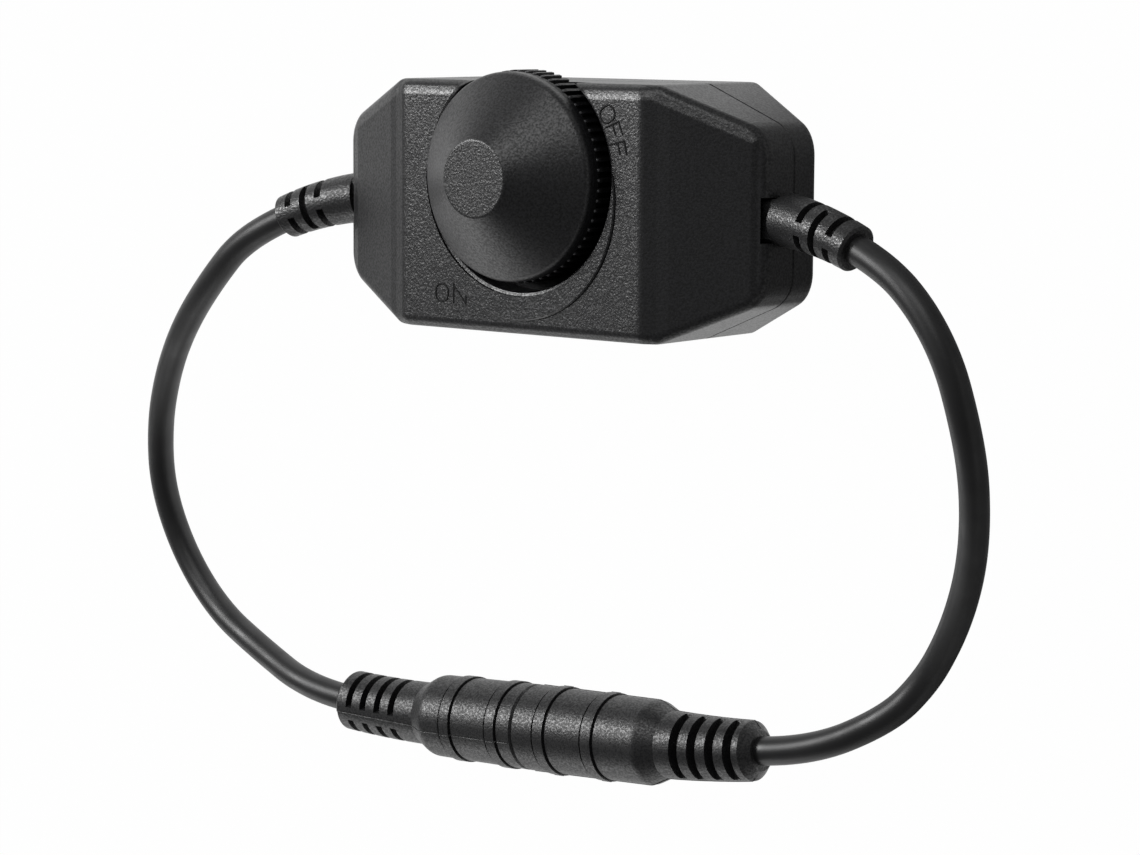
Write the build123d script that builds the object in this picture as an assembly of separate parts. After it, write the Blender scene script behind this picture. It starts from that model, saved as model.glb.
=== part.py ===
from build123d import *

import os
from math import cos, pi, radians, sin, tan

# Inline LED dimmer: a faceted two-shell housing with a recessed thumb knob on a potentiometer,
# and two short cords that end in a barrel plug and a barrel socket, pushed into each other.
# It lies on its back. The origin is the middle of the back face, X runs along the housing,
# Z along the knob's axis, and lengths are in millimetres.

# Housing
housing_length = 66.0
housing_width = 31.0
housing_depth = 22.8
split_height = 11.3
side_length = 40.4
end_width = 20.0
crown_length = 37.4
crown_end_height = 16.8
back_length = 38.0
back_end_height = 6.7
wall = 1.8
end_corner_radius = 4.5
side_corner_radius = 2.0
crown_radius = 2.2
rim_radius = 1.4
seam_chamfer = 0.2
lip_height = 1.2
lip_thickness = 0.8
fit_clearance = 0.1

# Screws that close the housing from behind
screw_x = 15.5
screw_y = 10.2
screw_radius = 1.3
screw_bite = 6.5
screw_head_radius = 2.5
screw_head_height = 1.8
screw_sink = 3.0
screw_cross_length = 2.8
screw_cross_width = 0.6
screw_cross_depth = 0.9
boss_radius = 3.8
screw_clearance = 0.2

# Knob, its well and the round pad below it
dial_setback = 11.55
dial_rise = 8.6
dial_top_radius = 4.7
dial_top_rounding = 0.5
dial_edge_radius = 12.8
dial_edge_rise = 2.4
dial_edge_rounding = 1.0
dial_wall = 1.8
knurl_radius = 13.0
knurl_root_radius = 12.5
knurl_count = 65
knurl_share = 0.58
knurl_rise = 0.5
knurl_length = 3.6
knurl_ledge = 0.1
knurl_slope = 0.5
well_radius = 14.1
well_depth = 3.9
well_floor = 1.5
well_wall = 1.4
well_lip = 0.5
pad_radius = 15.0
pad_drop = 2.65
pad_height = 0.3
pad_edge = 0.15
pad_step = 0.1

# Potentiometer
shaft_radius = 3.0
shaft_flat = 1.5
shaft_gap = 1.2
shaft_clearance = 0.05
hub_radius = 4.6
hub_gap = 0.8
bushing_radius = 3.8
bushing_rise = 0.4
bushing_clearance = 0.2
pot_radius = 8.2
pot_frame_thickness = 0.8
pot_can_height = 5.2
pot_can_wall = 0.5
pot_track_thickness = 1.2
tongue_width = 13.0
tongue_length = 3.5
rotor_radius = 6.7
rotor_height = 2.6
rotor_gap = 1.2
rotor_lug_reach = 0.6
stop_reach = 0.7
stop_angle = 28.0
lug_angle = 30.0
stop_spare = 1.0
wiper_radius = 6.0
wiper_width = 1.2
wiper_thickness = 0.3
wiper_gap = 0.1
switch_size = 12.0
switch_height = 2.2
terminal_pitch = 5.0
terminal_width = 1.0
terminal_thickness = 0.5
terminal_tail = 1.0

# Circuit board and what is soldered on it
board_length = 42.0
board_clearance = 0.5
board_thickness = 1.6
post_x = 17.0
post_y = 4.0
post_radius = 1.5
pad_x = 18.8
pad_y = 2.4
wire_radius = 0.7
wire_bend = 2.0
mosfet_place = (13.0, 1.6)
mosfet_size = (6.6, 6.0, 2.3)
mosfet_tab = (5.2, 1.8, 0.5)
mosfet_tab_overlap = 0.2
mosfet_leg = (0.8, 2.4, 0.6)
mosfet_leg_spread = 4.6
mosfet_leg_overlap = 0.2
timer_place = (-12.6, 1.0)
timer_size = (4.9, 3.9, 1.5)
timer_lift = 0.15
timer_leg = (0.42, 6.0, 0.5)
timer_leg_pitch = 1.27
resistor_size = (1.6, 3.2, 0.6)
resistor_edge = 2.8
chip_capacitor_size = (2.0, 1.25, 0.85)
chip_capacitor_x = 11.5
chip_capacitor_edge = 1.6
chip_capacitor_pitch = 2.2
can_place = (-12.8, -7.6)
can_radius = 3.15
can_height = 7.6
can_rounding = 0.5
can_groove_height = 1.0
can_groove_width = 0.5
can_groove_depth = 0.25
diode_place = (10.4, -5.4)
diode_size = (4.3, 2.6, 2.1)
diode_lift = 0.1
diode_lead = (5.2, 1.5, 0.3)

# Housing strain reliefs
boot_height = 13.75
boot_shift = -0.3
boot_neck_width = 5.1
boot_neck_height = 4.7
boot_neck_round = 3.2
boot_flange_width = 8.0
boot_flange_height = 4.7
boot_flange_drop = 3.55
boot_flange_thickness = 1.7
boot_stand_off = 0.8
boot_length = 12.2
boot_start_radius = 3.25
boot_end_radius = 2.85
boot_sag = 20.0
right_boot_tilt = 14.5
right_boot_yaw = 5.4
right_boot_bend = 17.0
left_boot_tilt = 11.0
left_boot_yaw = 7.5
left_boot_bend = 15.0
boot_slot_start = 4.5
boot_slot_pitch = 2.4
boot_slot_width = 1.05
boot_rib = 1.6
boot_end_chamfer = 0.3
notch_clearance = 0.15
notch_headroom = 1.0

# Cords
cord_radius = 1.82
left_cord_lead = 7.5
right_cord_lead = 5.0
plug_cord_lead = 7.5
jack_cord_lead = 7.5
core_spare = 0.2

# Barrel plug and barrel socket, mated
seam_x = -10.58
seam_y = -68.8
connector_yaw = 2.1
grip_mouth_radius = 5.6
grip_radius = 5.42
grip_edge = 0.3
grip_shoulder = 2.4
grip_shoulder_rounding = 2.0
band_height = 0.2
plug_barrel = 15.8
jack_barrel = 19.8
groove_width = 0.35
groove_depth = 0.25
plug_grooves = (2.35, 4.2, 10.2, 12.1)
jack_grooves = (3.5, 5.4, 11.3, 13.2)
sleeve_rib = 1.9
sleeve_end_chamfer = 1.2
plug_neck_radius = 4.15
plug_end_radius = 4.0
plug_sleeve_length = 14.6
plug_sleeve_bend = 5.2
plug_slot_start = 3.2
plug_slot_pitch = 2.53
plug_slot_width = 1.05
plug_rib_turn = -14.0
jack_neck_radius = 4.3
jack_end_radius = 3.7
jack_sleeve_length = 13.9
jack_sleeve_bend = 5.2
jack_slot_start = 2.4
jack_slot_pitch = 2.7
jack_slot_width = 1.3
jack_rib_turn = 78.0
barrel_radius = 2.75
barrel_reach = 9.5
barrel_root = 8.0
barrel_wall = 0.4
contact_radius = 1.55
pin_radius = 1.0
pin_tip = 2.5
pin_root = 13.0
insert_radius = 4.2
insert_length = 13.0
insert_back = 2.0
insert_recess = 0.3
spring_width = 1.6
spring_thickness = 0.3
spring_lift = 0.85
spring_flat = 5.0
spring_dip = 3.2
spring_tip = 1.6
spring_tip_drop = 0.2
mate_clearance = 0.15

# Heights that follow from the stack
half_length = housing_length / 2
half_width = housing_width / 2
dial_offset = half_width - dial_setback
board_width = housing_width - 2 * (wall + lip_thickness + board_clearance)
well_bottom = housing_depth - well_depth
pot_top = well_bottom - well_floor
can_top = pot_top - pot_frame_thickness
track_top = can_top - pot_can_height
track_bottom = track_top - pot_track_thickness
board_top = track_bottom - switch_height
board_bottom = board_top - board_thickness
rotor_bottom = track_top + rotor_gap
shaft_top = housing_depth + dial_rise - dial_wall - shaft_gap
knob_bottom = housing_depth + knurl_rise - knurl_length
wall_inside = half_length - wall
screw_places = ((-screw_x, screw_y), (screw_x, -screw_y))
dial_axis = Pos(0, dial_offset, 0)


def upright(radius, low, high):
    """Cylinder along Z from one height to another."""
    return Pos(0, 0, low) * Cylinder(radius, high - low, align=(Align.CENTER, Align.CENTER, Align.MIN))


def along(radius, start, end):
    """Cylinder along X from one place to another."""
    return Pos(start, 0, 0) * Rot(0, 90, 0) * upright(radius, 0, end - start)


def slab(low, high):
    """Box between two opposite corners."""
    size = [b - a for a, b in zip(low, high)]
    return Pos(*low) * Box(*size, align=(Align.MIN, Align.MIN, Align.MIN))


def plan(inset):
    """Eight-sided plan of the housing with rounded corners, shrunk by an inset."""
    half_side = side_length / 2
    half_end = end_width / 2
    quarter = [(half_side, half_width), (half_length, half_end),
               (half_length, -half_end), (half_side, -half_width)]
    corners = quarter + [(-x, -y) for x, y in quarter]
    face = make_face(Polyline(*corners, close=True))
    if inset:
        face = offset(face, -inset, kind=Kind.INTERSECTION)
    middle = (half_side + half_length) / 2
    ends = face.vertices().filter_by(lambda v: abs(v.X) > middle)
    face = fillet(ends, max(end_corner_radius - inset, side_corner_radius))
    sides = face.vertices().filter_by(lambda v: abs(v.Y) > half_width - inset - 0.01)
    return fillet(sides, side_corner_radius)


def faceted_half(inset, flat_length, cap_height, end_height):
    """Half of the housing above its split plane: flat cap, slanted ends and upright walls."""
    half_flat = flat_length / 2
    slope = (cap_height - end_height) / (half_length - half_flat)
    margin = end_height / slope / 2
    reach = half_length + margin
    base = -wall * 4
    roof = [(-reach, base), (reach, base), (reach, end_height - slope * margin), (half_flat, cap_height),
            (-half_flat, cap_height), (-reach, end_height - slope * margin)]
    profile = make_face(Polyline(*roof, close=True))
    if inset:
        profile = offset(profile, -inset, kind=Kind.INTERSECTION)
    profile = fillet(profile.vertices().sort_by(Axis.Y)[-2:], crown_radius)
    prism = extrude(Plane.XZ * profile, housing_width, both=True)
    return extrude(plan(inset), cap_height) & prism


def is_rim(edge):
    """True for the edges where the walls of a half meet its cap and slanted ends."""
    middle = edge @ 0.5
    heading = edge % 0.5
    if edge.bounding_box().min.Z < seam_chamfer * 2 or abs(heading.Z) > 0.99:
        return False
    return abs(heading.Y) < 0.99 or abs(middle.X) > half_length - end_corner_radius


def outer_half(flat_length, cap_height, end_height):
    """Outside of one half: rounded rim at the cap and a fine bevel at the split."""
    block = faceted_half(0, flat_length, cap_height, end_height)
    block = fillet(block.edges().filter_by(is_rim), rim_radius)
    foot = block.edges().filter_by(lambda e: e.bounding_box().max.Z < 0.01)
    return chamfer(foot, seam_chamfer)


def make_front_shell():
    cap = housing_depth - split_height
    lift = Pos(0, 0, split_height)
    outer = lift * outer_half(crown_length, cap, crown_end_height - split_height)
    cavity = lift * faceted_half(wall, crown_length, cap, crown_end_height - split_height)
    shell = outer - cavity
    cup = dial_axis * upright(well_radius + well_wall, pot_top, housing_depth)
    shell += cup & outer
    for x, y in screw_places:
        shell += (Pos(x, y, 0) * upright(boss_radius, split_height, housing_depth)) & outer
    pad = upright(pad_radius, housing_depth - wall / 2, housing_depth + pad_height)
    pad = dial_axis * Pos(0, -pad_drop, 0) * chamfer(pad.edges().group_by(Axis.Z)[-1], pad_edge)
    shell += pad & extrude(plan(rim_radius), housing_depth + wall)
    break_height = housing_depth - well_lip * 0.35
    break_radius = well_radius + well_lip * 0.35
    lip_level = housing_depth + well_lip * 0.035
    lip_radius = well_radius + well_lip * 1.065
    high = housing_depth + pad_height * 2
    well = [(0, well_bottom), (well_radius, well_bottom), (well_radius, housing_depth - well_lip),
            (break_radius, break_height), (lip_radius, lip_level), (lip_radius + pad_step, high), (0, high)]
    shell -= dial_axis * revolve(Plane.XZ * make_face(Polyline(*well, close=True)), Axis.Z)
    shell -= dial_axis * upright(bushing_radius + bushing_clearance, pot_top - 1, well_bottom + 1)
    for x, y in screw_places:
        shell -= Pos(x, y, 0) * upright(screw_radius, split_height, split_height + screw_bite)
    notch_half = boot_neck_width / 2 + notch_clearance
    notch_top = boot_height + boot_neck_height / 2 + notch_headroom
    inside = wall_inside - wall / 3
    notch_low, notch_high = boot_shift - notch_half, boot_shift + notch_half
    for side in (-1, 1):
        ends = sorted((side * inside, side * (half_length + wall)))
        shell -= slab((ends[0], notch_low, split_height), (ends[1], notch_high, notch_top))
    return shell


def make_rear_cover():
    flip = Pos(0, 0, split_height) * Rot(180, 0, 0)
    rise = split_height - back_end_height
    outer = flip * outer_half(back_length, split_height, rise)
    cavity = flip * faceted_half(wall, back_length, split_height, rise)
    cover = outer - cavity
    root = Pos(0, 0, split_height - lip_height) * extrude(plan(wall - fit_clearance), lip_height)
    tongue = Pos(0, 0, split_height) * extrude(plan(wall + fit_clearance), lip_height)
    core = Pos(0, 0, split_height - lip_height * 2) * extrude(plan(wall + lip_thickness), lip_height * 4)
    lip = root + tongue - core
    flange_half = boot_flange_width / 2 + notch_clearance * 3
    lip -= slab((-housing_length, boot_shift - flange_half, 0),
                (housing_length, boot_shift + flange_half, housing_depth))
    for x, y in screw_places:
        lip -= Pos(x, y, 0) * upright(boss_radius + fit_clearance, 0, housing_depth)
    cover += lip
    for x, y in screw_places:
        cover += (Pos(x, y, 0) * upright(boss_radius, 0, split_height)) & outer
    for x in (-post_x, post_x):
        for y in (-post_y, post_y):
            cover += Pos(x, y, 0) * upright(post_radius, wall / 2, board_bottom)
    for x, y in screw_places:
        cover -= Pos(x, y, 0) * upright(screw_radius + screw_clearance, 0, split_height)
        cover -= Pos(x, y, 0) * upright(screw_head_radius + screw_clearance, 0, screw_sink)
    return cover


def make_case_screws():
    """Two pan-head screws with a cross recess, as one group."""
    screws = []
    for x, y in screw_places:
        head = upright(screw_head_radius, screw_sink - screw_head_height, screw_sink)
        head = fillet(head.edges().group_by(Axis.Z)[0], screw_head_height / 3)
        floor = screw_sink - screw_head_height
        for turn in (0, 90):
            bar = slab((-screw_cross_length / 2, -screw_cross_width / 2, floor),
                       (screw_cross_length / 2, screw_cross_width / 2, floor + screw_cross_depth))
            head -= Rot(0, 0, turn) * bar
        tip = upright(screw_radius, screw_sink, split_height + screw_bite - screw_radius)
        tip = chamfer(tip.edges().group_by(Axis.Z)[-1], screw_radius / 2)
        screws.append(Pos(x, y, 0) * (head + tip))
    return Compound(children=screws)


def flatted(radius, low, high, flat):
    """Shaft section with one side cut flat."""
    cut = slab((radius - flat, -radius, low), (radius, radius, high))
    return upright(radius, low, high) - cut


def make_knob():
    """Hollow conical knob with a hub, a flat top and a knurled rim."""
    top = housing_depth + dial_rise
    edge = housing_depth + dial_edge_rise
    inner_edge = edge - dial_wall
    inner_radius = dial_edge_radius - dial_wall
    inner_top = top - dial_wall
    outside = [(0, inner_edge), (0, top), (dial_top_radius, top), (dial_edge_radius, edge),
               (dial_edge_radius, housing_depth + knurl_rise), (inner_radius, housing_depth + knurl_rise),
               (inner_radius, inner_edge)]
    section = make_face(Polyline(*outside, close=True))
    top_corner = section.vertices().filter_by(lambda v: v.Y > top - 0.01 and v.X > 0.01)
    section = fillet(top_corner, dial_top_rounding)
    rim_corner = section.vertices().filter_by(lambda v: abs(v.Y - edge) < 0.01 and v.X > inner_radius)
    section = fillet(rim_corner, dial_edge_rounding)
    hollow = [(0, inner_edge - 1), (inner_radius, inner_edge - 1), (inner_radius, inner_edge),
              (dial_top_radius, inner_top), (0, inner_top)]
    hub_bottom = well_bottom + hub_gap
    body = revolve(Plane.XZ * section, Axis.Z)
    body -= revolve(Plane.XZ * make_face(Polyline(*hollow, close=True)), Axis.Z)
    body += upright(hub_radius, hub_bottom, top - dial_wall / 2)
    body -= flatted(shaft_radius + shaft_clearance, hub_bottom, shaft_top + fit_clearance, shaft_flat)
    pitch = 2 * pi * knurl_radius / knurl_count
    foot = knurl_root_radius - (knurl_radius - knurl_root_radius) / 2
    wide = pitch * knurl_share / 2
    narrow = wide * 0.6
    rib = make_face(Polyline((foot, -wide), (knurl_radius, -narrow),
                             (knurl_radius, narrow), (foot, wide), close=True))
    ring = Circle(knurl_root_radius) + PolarLocations(0, knurl_count) * rib - Circle(inner_radius)
    knurl_top = knob_bottom + knurl_length
    slope_low = knurl_top - knurl_slope
    sloped = [(0, knob_bottom), (knurl_radius + 1, knob_bottom), (knurl_radius + 1, slope_low),
              (knurl_radius, slope_low), (dial_edge_radius + knurl_ledge, knurl_top), (0, knurl_top)]
    envelope = revolve(Plane.XZ * make_face(Polyline(*sloped, close=True)), Axis.Z)
    body += (Pos(0, 0, knob_bottom) * extrude(ring, knurl_length)) & envelope
    return dial_axis * body


def make_pot_shaft():
    low = well_bottom + hub_gap
    lower = upright(shaft_radius, rotor_bottom + wiper_thickness, low)
    upper = flatted(shaft_radius, low, shaft_top, shaft_flat)
    upper = chamfer(upper.edges().group_by(Axis.Z)[-1], shaft_radius / 6)
    return dial_axis * (lower + upper)


def make_pot_frame():
    plate = upright(pot_radius, can_top, pot_top)
    bushing = upright(bushing_radius, can_top, well_bottom + bushing_rise)
    bore = upright(shaft_radius + shaft_clearance, can_top - 1, housing_depth)
    return dial_axis * (plate + bushing - bore)


def sector(inner, outer, low, high, middle, width):
    """Ring segment between two radii, centred on an angle."""
    ring = upright(outer, low, high) - upright(inner, low, high)
    reach = outer * 2
    spread = radians(width / 2)
    wedge = make_face(Polyline((0, 0), (reach * cos(spread), -reach * sin(spread)),
                               (reach * cos(spread), reach * sin(spread)), close=True))
    return Rot(0, 0, middle) * (ring & (Pos(0, 0, low) * extrude(wedge, high - low)))


def make_pot_can():
    inner = pot_radius - pot_can_wall
    can = upright(pot_radius, track_top, can_top) - upright(inner, track_top, can_top)
    stop = sector(inner - stop_reach, inner + pot_can_wall / 2, track_top, can_top, 90, stop_angle)
    return dial_axis * (can + stop)


def make_pot_rotor():
    """Rotor whose lug rests just short of the can's stop when the knob is at its off end."""
    low = rotor_bottom + wiper_thickness
    high = rotor_bottom + rotor_height
    disc = upright(rotor_radius, low, high)
    lug_place = 90 - stop_angle / 2 - stop_spare - lug_angle / 2
    lug = sector(rotor_radius - rotor_lug_reach, rotor_radius + rotor_lug_reach, low, high,
                 lug_place, lug_angle)
    return dial_axis * (disc + lug - upright(shaft_radius, low - 1, high + 1))


def make_pot_wiper():
    """Flat contact ring under the rotor, with a finger bent down to the track."""
    ring = upright(wiper_radius, rotor_bottom, rotor_bottom + wiper_thickness)
    ring -= upright(wiper_radius - wiper_width, rotor_bottom, rotor_bottom + wiper_thickness)
    foot = track_top + wiper_gap
    mid = wiper_radius - wiper_width / 2
    finger = slab((mid - wiper_thickness / 2, -wiper_width / 2, foot),
                  (mid + wiper_thickness / 2, wiper_width / 2, rotor_bottom))
    return dial_axis * (ring + finger + Rot(0, 0, 180) * finger)


def make_pot_track():
    disc = upright(pot_radius, track_bottom, track_top)
    edge = pot_radius + tongue_length
    tongue = slab((-tongue_width / 2, -edge, track_bottom), (tongue_width / 2, 0, track_top))
    return dial_axis * (disc + tongue)


def make_pot_switch():
    half = switch_size / 2
    box = slab((-half, -half, board_top), (half, half, track_bottom))
    return dial_axis * chamfer(box.edges().filter_by(Axis.Z), switch_size / 10)


terminal_y = dial_offset - pot_radius - tongue_length / 2
terminal_x = [place * terminal_pitch for place in (-1, 0, 1)]


def make_pot_terminals():
    pins = []
    for x in terminal_x:
        low = board_bottom - terminal_tail
        pins.append(Pos(x, terminal_y, 0) * slab((-terminal_width / 2, -terminal_thickness / 2, low),
                                                 (terminal_width / 2, terminal_thickness / 2, track_bottom)))
    return Compound(children=pins)


def make_circuit_board():
    """Board that drops over the two screw bosses and rests on four posts."""
    half_x, half_y = board_length / 2, board_width / 2
    board = slab((-half_x, -half_y, board_bottom), (half_x, half_y, board_top))
    for x, y in screw_places:
        board -= Pos(x, y, 0) * upright(boss_radius + fit_clearance * 2, 0, housing_depth)
    for x in terminal_x:
        board -= Pos(x, terminal_y, 0) * upright(terminal_width / 2 + fit_clearance, 0, housing_depth)
    return board


def on_board(x, y, size):
    """Block that stands on the board, centred on a place."""
    return Pos(x, y, board_top) * Box(*size, align=(Align.CENTER, Align.CENTER, Align.MIN))


def make_mosfet():
    """Flat power package with a metal tab and two bent legs."""
    x, y = mosfet_place
    half_body = mosfet_size[1] / 2
    tab_y = y + half_body + mosfet_tab[1] / 2 - mosfet_tab_overlap
    leg_y = y - half_body - mosfet_leg[1] / 2 + mosfet_leg_overlap
    legs = [on_board(x + side * mosfet_leg_spread / 2, leg_y, mosfet_leg) for side in (-1, 1)]
    return on_board(x, y, mosfet_size) + on_board(x, tab_y, mosfet_tab) + legs


def make_timer_chip():
    """Small outline chip with four legs on each side."""
    x, y = timer_place
    legs = [on_board(x + place * timer_leg_pitch, y, timer_leg) for place in (-1.5, -0.5, 0.5, 1.5)]
    return Pos(0, 0, timer_lift) * on_board(x, y, timer_size) + legs


def make_chip_resistors():
    """Row along the board's edge, between and beside the potentiometer's pins."""
    y = resistor_edge - board_width / 2
    places = [place * terminal_pitch for place in (-1.5, -0.5, 0.5, 1.5)]
    return Compound(children=[on_board(x, y, resistor_size) for x in places])


def make_chip_capacitors():
    edge = board_width / 2 - chip_capacitor_edge
    places = [edge - row * chip_capacitor_pitch for row in range(2)]
    return Compound(children=[on_board(chip_capacitor_x, y, chip_capacitor_size) for y in places])


def make_can_capacitor():
    """Electrolytic can with a rolled groove above its foot."""
    can = upright(can_radius, 0, can_height)
    can = fillet(can.edges().group_by(Axis.Z)[-1], can_rounding)
    groove_top = can_groove_height + can_groove_width
    ring = upright(can_radius + 1, can_groove_height, groove_top)
    ring -= upright(can_radius - can_groove_depth, can_groove_height, groove_top)
    return Pos(*can_place, board_top) * (can - ring)


def make_diode():
    body = Pos(0, 0, diode_lift) * on_board(*diode_place, diode_size)
    return body + on_board(*diode_place, diode_lead)


def rounded_path(points):
    """Straight runs joined by tangent arcs, each as large as its two runs allow."""
    points = [Vector(*p) for p in points]
    radii = []
    for before, corner, after in zip(points, points[1:], points[2:]):
        arriving, leaving = corner - before, after - corner
        turn = radians(arriving.get_angle(leaving))
        radii.append(0.45 * min(arriving.length, leaving.length) / tan(turn / 2))
    return FilletPolyline(*points, radius=radii), radii


def tube(points, radius):
    """Round tube along a rounded path."""
    path, radii = rounded_path(points)
    start = Plane(origin=path @ 0, z_dir=path % 0)
    return sweep(start * Circle(radius), path=path), path, radii


def make_wires(side):
    """Two insulated wires from the inside of a strain relief down to the board."""
    start = wall_inside - fit_clearance - boot_flange_thickness
    wires = []
    for y in (-pad_y, pad_y):
        near = boot_shift + y / 2
        high = boot_height - wire_bend
        route = [(side * start, near, high), (side * (start - wire_bend), near, high),
                 (side * pad_x, y, board_top + wire_bend), (side * pad_x, y, board_top)]
        wires.append(tube(route, wire_radius)[0])
    return Compound(children=wires)


def sleeve_plane(place, length, bend):
    """Cross-section plane of a bent sleeve that starts at the origin, heading along X."""
    angle = radians(bend) * place / length
    curve = length / radians(bend)
    return Plane(origin=(curve * sin(angle), curve * (1 - cos(angle)), 0),
                 x_dir=(-sin(angle), cos(angle), 0), z_dir=(cos(angle), sin(angle), 0))


def slotted_sleeve(length, bend, start_radius, end_radius, end_chamfer, slots, rib):
    """Tapered, bent strain relief. Each slot is a place along it, a width and its ribs' turn."""
    steps = 4
    sections = []
    for step in range(steps):
        share = step / (steps - 1)
        radius = start_radius + (end_radius - start_radius) * share
        sections.append(sleeve_plane(length * share, length, bend) * Circle(radius))
    sleeve = loft(sections)
    tip = sleeve_plane(length, length, bend).origin
    sleeve = chamfer(sleeve.edges().sort_by_distance(tip)[:1], end_chamfer)
    outer = start_radius * 1.5
    ring = Circle(outer) - Circle(cord_radius + core_spare)
    for place, width, turn in slots:
        gap = ring - Rot(0, 0, turn) * Rectangle(rib, outer * 3)
        sleeve -= extrude(sleeve_plane(place, length, bend) * gap, width)
    return sleeve


def boot_frame(side):
    """Place of a housing strain relief: it leaves the end wall rising, and bends sideways and down."""
    heading = -right_boot_yaw if side > 0 else 180 + left_boot_yaw
    tilt = right_boot_tilt if side > 0 else left_boot_tilt
    root = Pos(side * (half_length + boot_stand_off), boot_shift, boot_height)
    return root * Rot(0, 0, heading) * Rot(0, -tilt, 0) * Rot(side * boot_sag, 0, 0)


def boot_bend(side):
    return -right_boot_bend if side > 0 else left_boot_bend


def make_boot(side):
    upright_ribs = -side * boot_sag
    slots = []
    for row in range(3):
        place = boot_slot_start + row * boot_slot_pitch
        slots.append((place, boot_slot_width, upright_ribs + 90 * (row % 2)))
    body = boot_frame(side) * slotted_sleeve(boot_length, boot_bend(side), boot_start_radius, boot_end_radius,
                                             boot_end_chamfer, slots, boot_rib)
    inner = wall_inside - fit_clearance
    neck_low = boot_height - boot_neck_height / 2
    neck_end = half_length + boot_stand_off + boot_start_radius / 2
    neck = slab((inner, -boot_neck_width / 2, neck_low),
                (neck_end, boot_neck_width / 2, neck_low + boot_neck_height))
    neck &= Pos(0, 0, boot_height) * along(boot_neck_round, inner, neck_end)
    flange_low = boot_height - boot_flange_drop
    flange = slab((inner - boot_flange_thickness, -boot_flange_width / 2, flange_low),
                  (inner, boot_flange_width / 2, flange_low + boot_flange_height))
    mount = Pos(0, boot_shift, 0) * (neck + flange)
    return body + (mount if side > 0 else mirror(mount, about=Plane.YZ))


def end_of(frame, length, bend):
    """Middle and outward direction of a bent sleeve's far end."""
    plane = Plane(frame * sleeve_plane(length, length, bend).location)
    return plane.origin, plane.z_dir


plug_sleeve_start = plug_barrel + grip_shoulder
jack_sleeve_start = jack_barrel + grip_shoulder
connector = Pos(seam_x, seam_y, grip_mouth_radius + band_height) * Rot(0, 0, connector_yaw)
plug_frame = connector * Rot(0, 0, 180)
jack_frame = connector
plug_sleeve_frame = plug_frame * Pos(plug_sleeve_start, 0, 0)
jack_sleeve_frame = jack_frame * Pos(jack_sleeve_start, 0, 0)


def grip(barrel, grooves, neck_radius, sleeve):
    """Moulded grip along X from its mating face: tapered barrel with raised bands, shoulder, sleeve."""
    start = barrel + grip_shoulder
    taper = (grip_mouth_radius - grip_radius) / barrel
    outline = [(0, 0), (0, grip_mouth_radius - grip_edge), (grip_edge, grip_mouth_radius),
               (barrel, grip_radius), (start, neck_radius), (start, 0)]
    section = make_face(Polyline(*outline, close=True))
    shoulder = section.vertices().filter_by(lambda v: abs(v.X - barrel) < 0.01)
    section = fillet(shoulder, grip_shoulder_rounding)
    body = revolve(section, Axis.X)
    for first, second in zip(grooves[::2], grooves[1::2]):
        surface = grip_mouth_radius - taper * (first + second) / 2
        body += along(surface + band_height, first, second + groove_width)
        for place in (first, second):
            ring = along(surface + 1, place, place + groove_width)
            body -= ring - along(surface - groove_depth, place, place + groove_width)
    return body + Pos(start, 0, 0) * sleeve


def make_plug_grip():
    slots = [(plug_slot_start + row * plug_slot_pitch, plug_slot_width, plug_rib_turn) for row in range(4)]
    sleeve = slotted_sleeve(plug_sleeve_length, -plug_sleeve_bend, plug_neck_radius, plug_end_radius,
                            sleeve_end_chamfer, slots, sleeve_rib)
    body = grip(plug_barrel, plug_grooves, plug_neck_radius, sleeve)
    return plug_frame * (body - along(barrel_radius, 0, barrel_root))


def make_jack_grip():
    slots = [(jack_slot_start + row * jack_slot_pitch, jack_slot_width, jack_rib_turn) for row in range(4)]
    sleeve = slotted_sleeve(jack_sleeve_length, jack_sleeve_bend, jack_neck_radius, jack_end_radius,
                            sleeve_end_chamfer, slots, sleeve_rib)
    body = grip(jack_barrel, jack_grooves, jack_neck_radius, sleeve)
    return jack_frame * (body - along(insert_radius + fit_clearance / 2, 0, insert_recess + insert_length))


def make_plug_sleeve():
    ring = along(barrel_radius, -barrel_root, barrel_reach)
    return jack_frame * (ring - along(barrel_radius - barrel_wall, -barrel_root, barrel_reach))


def make_plug_insulator():
    lining = along(barrel_radius - barrel_wall, -barrel_root, barrel_reach - barrel_wall)
    return jack_frame * (lining - along(contact_radius, -barrel_root, barrel_reach))


def make_plug_contact():
    end = barrel_reach - barrel_wall * 2
    bore = along(pin_radius + shaft_clearance, -barrel_root + barrel_wall, end)
    return jack_frame * (along(contact_radius, -barrel_root, end) - bore)


def make_jack_insert():
    back = insert_recess + insert_length
    insert = along(insert_radius, insert_recess, back)
    insert -= along(barrel_radius + mate_clearance, insert_recess, back - insert_back)
    insert -= along(pin_radius, 0, back + 1)
    half = spring_width / 2 + fit_clearance
    insert -= slab((insert_recess + 1, -half, 0), (back, half, insert_radius)) & slab(
        (0, -half, barrel_radius), (back, half, barrel_radius + spring_lift + spring_thickness))
    return jack_frame * insert


def make_jack_pin():
    pin = along(pin_radius, pin_tip, pin_root)
    pin = fillet(pin.edges().group_by(Axis.X)[0], pin_radius * 0.6)
    return jack_frame * pin


def make_jack_spring():
    """Leaf contact that dips to the plug's sleeve near its free end."""
    low = barrel_radius + fit_clearance
    high = barrel_radius + spring_lift
    root = insert_recess + insert_length
    line = [(root, high), (insert_recess + spring_flat, high), (insert_recess + spring_dip, low),
            (insert_recess + spring_tip, high - spring_tip_drop)]
    upper = [(x, z + spring_thickness) for x, z in reversed(line)]
    leaf = make_face(Polyline(*line, *upper, close=True))
    return jack_frame * extrude(Plane.XZ * leaf, spring_width / 2, both=True)


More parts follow.
